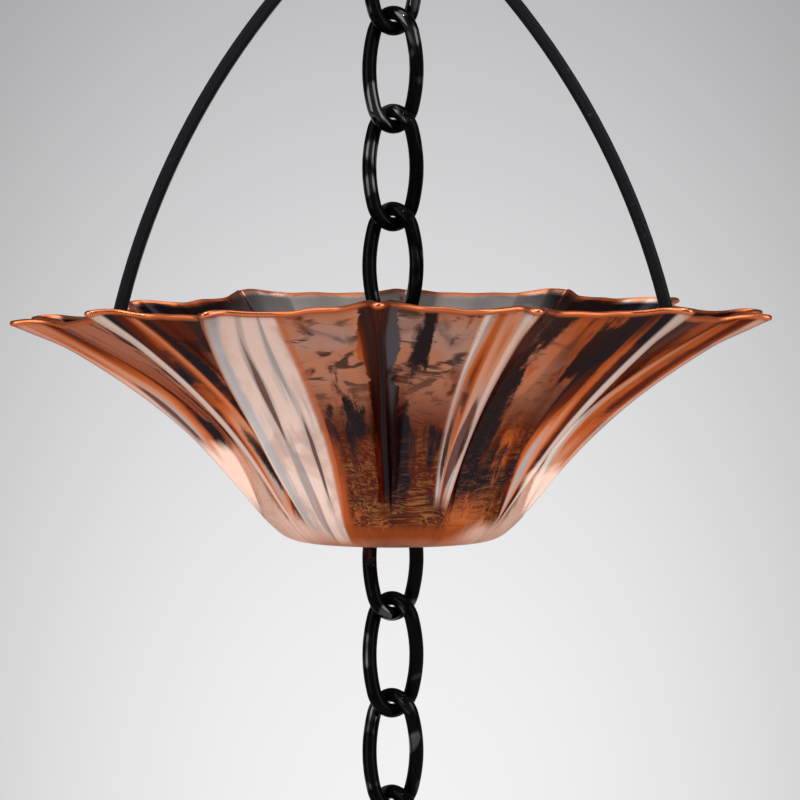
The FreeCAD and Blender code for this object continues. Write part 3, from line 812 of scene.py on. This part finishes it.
def studio_world(look):
    """The studio round the object.

    The backdrop goes from its high to its low tone as a ray falls, and darkens as the square of the way
    aside, up to an end. The camera sees it all round, reflections see a darker studio on the camera's side,
    and matte surfaces get an even fill.
    """
    world = bpy.data.worlds.new("studio")
    world.use_nodes = True
    make = Shader(world.node_tree)
    ray = make.node("ShaderNodeTexCoord", output="Generated")
    aside, along, climb = (make.node("ShaderNodeSeparateXYZ", None, {0: ray}, output=axis) for axis in "XYZ")
    backdrop = make.blend(climb.rise(*BACKDROP_CLIMB), look.high, look.low)
    backdrop = make.blend(BACKDROP_FALL * (aside * aside).least(BACKDROP_FALL_END), backdrop, BLACK)
    studio = make.blend(along.rise(*STUDIO_RUN), backdrop, look.front)
    to_camera, glossy, through = (
        make.node("ShaderNodeLightPath", output=f"Is {kind} Ray")
        for kind in ("Camera", "Glossy", "Transmission")
    )
    shown = make.blend(to_camera, studio, backdrop)
    shown = make.node("ShaderNodeBackground", None, {"Color": shown, "Strength": 1.0})
    fill = make.node("ShaderNodeBackground", None, {"Color": look.fill, "Strength": look.fill_strength})
    seen = to_camera.most(glossy).most(through)
    both = make.node("ShaderNodeMixShader", None, {0: seen, 1: fill, 2: shown})
    make.node("ShaderNodeOutputWorld", None, {"Surface": both})
    return world


def aimed(name, data, place, target):
    """An object for a lamp or a camera that stands at a place and faces a target."""
    holder = bpy.data.objects.new(name, data)
    holder.location = place
    holder.rotation_euler = (Vector(target) - Vector(place)).to_track_quat("-Z", "Y").to_euler()
    bpy.context.scene.collection.objects.link(holder)
    return holder


def soft_box(name, place, width, height, watts):
    """A rectangular lamp that faces the lamps' common point."""
    lamp = bpy.data.lights.new(name, "AREA")
    lamp.shape = "RECTANGLE"
    lamp.size = width
    lamp.size_y = height
    lamp.energy = watts
    aimed(name, lamp, place, LAMP_AIM)


class RAINCHAIN_OT_cup(bpy.types.Operator):
    """Builds the fluted copper cup"""

    bl_idname = "rainchain.cup"
    bl_label = "Fluted cup"

    def execute(self, context):
        look = context.scene.rain_chain
        points, shares = cup_grid(look.cup)
        cup = grid_piece("fluted_cup", points, shares, flat_map(points))
        cup.data.materials.append(flamed_copper(look.copper))
        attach(cup, "hanger")
        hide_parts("cup")
        return {"FINISHED"}


class RAINCHAIN_OT_bail(bpy.types.Operator):
    """Paints the bail and its rivets"""

    bl_idname = "rainchain.bail"
    bl_label = "Bail and rivets"

    def execute(self, context):
        iron = context.scene.rain_chain.iron
        paint = black_iron(
            "satin_black_iron", iron.satin, iron.worn, roughness=0.34, grain=260.0, depth=0.00008, gloss=0.10
        )
        for name in IRON_NODES:
            paint_node(name, paint)
        return {"FINISHED"}


class RAINCHAIN_OT_chain(bpy.types.Operator):
    """Paints the top ring and the twisted links"""

    bl_idname = "rainchain.chain"
    bl_label = "Ring and links"

    def execute(self, context):
        iron = context.scene.rain_chain.iron
        paint = black_iron(
            "gloss_black_chain", iron.gloss, iron.worn,
            roughness=0.07, grain=240.0, depth=0.00003, gloss=0.02, lacquer=1.0,
        )
        for name in ["top_ring"] + CHAIN_NODES:
            paint_node(name, paint)
        return {"FINISHED"}


class RAINCHAIN_OT_stage(bpy.types.Operator):
    """Sets the floor, the pale backdrop, the soft boxes and the camera"""

    bl_idname = "rainchain.stage"
    bl_label = "Stage"

    def execute(self, context):
        scene = context.scene
        look = scene.rain_chain.stage
        scene.view_settings.view_transform = "Standard"
        floor = pale_floor(look)
        scene.world = studio_world(look)
        for box in SOFT_BOXES:
            soft_box(*box)
        camera = bpy.data.cameras.new("camera")
        camera.sensor_width = CAMERA_SENSOR
        camera.sensor_fit = "HORIZONTAL"
        camera.lens = CAMERA_LENS
        scene.camera = aimed("camera", camera, CAMERA_PLACE, CAMERA_AIM)
        return {"FINISHED"}


class RAINCHAIN_PT_panel(bpy.types.Panel):
    """Lists the rain chain's pieces and looks"""

    bl_label = "Rain chain"
    bl_idname = "RAINCHAIN_PT_panel"
    bl_space_type = "VIEW_3D"
    bl_region_type = "UI"
    bl_category = "Rain chain"

    def draw(self, context):
        look = context.scene.rain_chain
        for operator in OPERATORS:
            self.layout.operator(operator.bl_idname)
        for group in (look.cup, look.copper, look.iron, look.stage):
            box = self.layout.box()
            for name in group.__annotations__:
                box.prop(group, name)


OPERATORS = (RAINCHAIN_OT_cup, RAINCHAIN_OT_bail, RAINCHAIN_OT_chain, RAINCHAIN_OT_stage)
CLASSES = (CupShape, CupFinish, IronFinish, StageLook, RainChainLook) + OPERATORS + (RAINCHAIN_PT_panel,)


def register():
    for item in CLASSES:
        bpy.utils.register_class(item)
    bpy.types.Scene.rain_chain = PointerProperty(type=RainChainLook)


def unregister():
    del bpy.types.Scene.rain_chain
    for item in reversed(CLASSES):
        bpy.utils.unregister_class(item)


def main():
    register()
    bpy.ops.rainchain.cup()
    bpy.ops.rainchain.bail()
    bpy.ops.rainchain.chain()
    bpy.ops.rainchain.stage()


if __name__ == "__main__":
    main()
